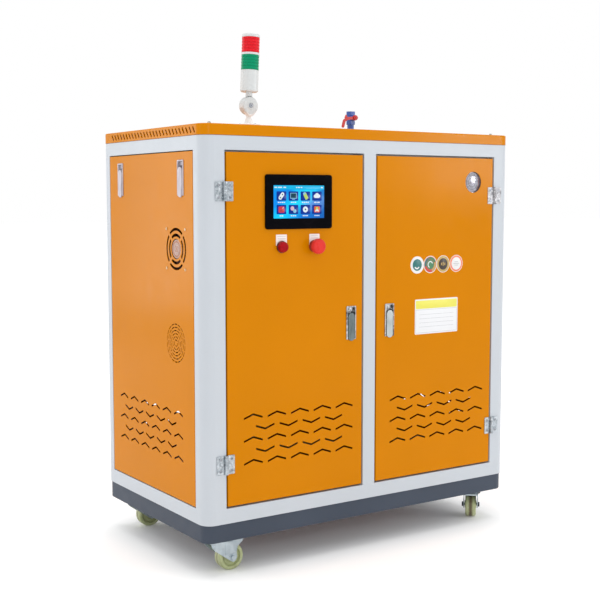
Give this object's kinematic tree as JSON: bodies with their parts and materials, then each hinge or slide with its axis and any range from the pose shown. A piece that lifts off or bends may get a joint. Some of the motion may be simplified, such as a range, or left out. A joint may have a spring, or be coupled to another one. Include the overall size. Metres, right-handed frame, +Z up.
{
  "type": "industrial boiler",
  "caption": "Sheet-metal electric steam boiler cabinet with hinged front doors, touch screen, stop button, gauge, signal tower, roof outlet valve, fan guard and swivel casters.",
  "frame": {"origin": "on the floor under the centre of the outer box", "axes": "+X to the right seen from the doors, doors face -Y, +Z up"},
  "size_m": [1.069, 0.6474, 1.4218],
  "materials": {
    "orange_paint": "satin orange powder coat, fine texture",
    "frame_paint": "satin pale grey powder coat",
    "base_paint": "satin dark blue-grey paint",
    "inner_steel": "plain galvanised sheet",
    "zinc": "bright zinc plate",
    "chrome": "polished plate",
    "black_plastic": "moulded black",
    "white_plastic": "moulded white",
    "screen_black": "glossy black bezel with a lit screen",
    "lamp_red": "dark red lens",
    "stop_red": "coral red mushroom",
    "gauge_steel": "bright case with a pale dial",
    "lens_green": "ribbed green lens",
    "lens_red": "ribbed red lens",
    "valve_blue": "blue enamel",
    "lever_red": "red dipped lever",
    "wheel_pu": "yellow-green polyurethane wheel"
  },
  "bodies": {
    "cabinet": {"base_frame": "base_paint", "floor_pan": "inner_steel", "lower_frame": "frame_paint", "upper_frame": "frame_paint", "corner_posts": "frame_paint", "mullions": "frame_paint", "roof_cap": "orange_paint", "left_panel": "orange_paint", "right_panel": "orange_paint", "rear_panels": "orange_paint", "hinge_post_leaves": "zinc", "left_panel_latches": "chrome", "right_panel_latches": "chrome", "rear_panel_latches": "chrome", "fan_housing": "black_plastic", "tower_foot": "white_plastic", "valve_body": "valve_blue", "caster_tops": "zinc"},
    "left_door_leaf": {"left_door": "orange_paint", "left_door_hinge_leaves": "zinc", "left_door_latch": "chrome", "touch_screen": "screen_black", "pilot_lamp": "lamp_red", "stop_collar": "black_plastic"},
    "right_door_leaf": {"right_door": "orange_paint", "right_door_hinge_leaves": "zinc", "right_door_latch": "chrome", "gauge_case": "gauge_steel"},
    "left_latch_paddle": {"left_door_paddle": "chrome"},
    "right_latch_paddle": {"right_door_paddle": "chrome"},
    "side_front_paddle": {"left_panel_front_paddle": "chrome"},
    "side_rear_paddle": {"left_panel_rear_paddle": "chrome"},
    "stop_button": {"stop_head": "stop_red"},
    "fan": {"fan_rotor": "black_plastic"},
    "tower": {"tower_stem": "white_plastic", "tower_housing": "white_plastic", "tower_green_lens": "lens_green", "tower_red_lens": "lens_red", "tower_caps": "white_plastic"},
    "lever": {"valve_lever": "lever_red"},
    "front_left_swivel": {"front_left_fork": "zinc"},
    "front_left_roller": {"front_left_wheel": "wheel_pu"},
    "front_right_swivel": {"front_right_fork": "zinc"},
    "front_right_roller": {"front_right_wheel": "wheel_pu"},
    "rear_left_swivel": {"rear_left_fork": "zinc"},
    "rear_left_roller": {"rear_left_wheel": "wheel_pu"},
    "rear_right_swivel": {"rear_right_fork": "zinc"},
    "rear_right_roller": {"rear_right_wheel": "wheel_pu"}
  },
  "joints": [
    {"name": "left_door_hinge", "type": "hinge", "parent": "cabinet", "child": "left_door_leaf", "pos_m": [-0.468, -0.29875, 0.65], "axis": [0, 0, -1], "range_deg": [0, 120]},
    {"name": "right_door_hinge", "type": "hinge", "parent": "cabinet", "child": "right_door_leaf", "pos_m": [0.468, -0.29875, 0.65], "axis": [0, 0, 1], "range_deg": [0, 120]},
    {"name": "left_latch", "type": "hinge", "parent": "left_door_leaf", "child": "left_latch_paddle", "pos_m": [-0.0655, -0.29175, 0.6715], "axis": [-1, 0, 0], "range_deg": [0, 45]},
    {"name": "right_latch", "type": "hinge", "parent": "right_door_leaf", "child": "right_latch_paddle", "pos_m": [0.0695, -0.29175, 0.6715], "axis": [-1, 0, 0], "range_deg": [0, 45]},
    {"name": "side_front_latch", "type": "hinge", "parent": "cabinet", "child": "side_front_paddle", "pos_m": [-0.528, -0.17625, 1.0685], "axis": [0, 1, 0], "range_deg": [0, 45]},
    {"name": "side_rear_latch", "type": "hinge", "parent": "cabinet", "child": "side_rear_paddle", "pos_m": [-0.528, 0.19175, 1.0685], "axis": [0, 1, 0], "range_deg": [0, 45]},
    {"name": "stop_push", "type": "slide", "parent": "left_door_leaf", "child": "stop_button", "axis": [0, 1, 0], "range_m": [0, 0.004]},
    {"name": "fan_spin", "type": "hinge", "parent": "cabinet", "child": "fan", "pos_m": [-0.518, -0.14575, 0.86], "axis": [1, 0, 0], "continuous": true},
    {"name": "tower_fold", "type": "hinge", "parent": "cabinet", "child": "tower", "pos_m": [-0.358, -0.23375, 1.2355], "axis": [0, 1, 0], "range_deg": [-2.65, 87.35]},
    {"name": "valve_turn", "type": "hinge", "parent": "cabinet", "child": "lever", "pos_m": [0.225, 0.08425, 1.2465], "axis": [0, 1, 0], "range_deg": [0, 90]},
    {"name": "front_left_swivel_turn", "type": "hinge", "parent": "cabinet", "child": "front_left_swivel", "pos_m": [-0.446, -0.23375, 0.0825], "axis": [0, 0, 1], "continuous": true},
    {"name": "front_left_wheel_roll", "type": "hinge", "parent": "front_left_swivel", "child": "front_left_roller", "pos_m": [-0.426, -0.23375, 0.037], "axis": [0, 1, 0], "continuous": true},
    {"name": "front_right_swivel_turn", "type": "hinge", "parent": "cabinet", "child": "front_right_swivel", "pos_m": [0.446, -0.23375, 0.0825], "axis": [0, 0, 1], "continuous": true},
    {"name": "front_right_wheel_roll", "type": "hinge", "parent": "front_right_swivel", "child": "front_right_roller", "pos_m": [0.45956, -0.21905, 0.037], "axis": [-0.7349, 0.6782, 0], "continuous": true},
    {"name": "rear_left_swivel_turn", "type": "hinge", "parent": "cabinet", "child": "rear_left_swivel", "pos_m": [-0.446, 0.25325, 0.0825], "axis": [0, 0, 1], "continuous": true},
    {"name": "rear_left_wheel_roll", "type": "hinge", "parent": "rear_left_swivel", "child": "rear_left_roller", "pos_m": [-0.426, 0.25325, 0.037], "axis": [0, 1, 0], "continuous": true},
    {"name": "rear_right_swivel_turn", "type": "hinge", "parent": "cabinet", "child": "rear_right_swivel", "pos_m": [0.446, 0.25325, 0.0825], "axis": [0, 0, 1], "continuous": true},
    {"name": "rear_right_wheel_roll", "type": "hinge", "parent": "rear_right_swivel", "child": "rear_right_roller", "pos_m": [0.46479, 0.26009, 0.037], "axis": [-0.342, 0.9397, 0], "continuous": true}
  ]
}
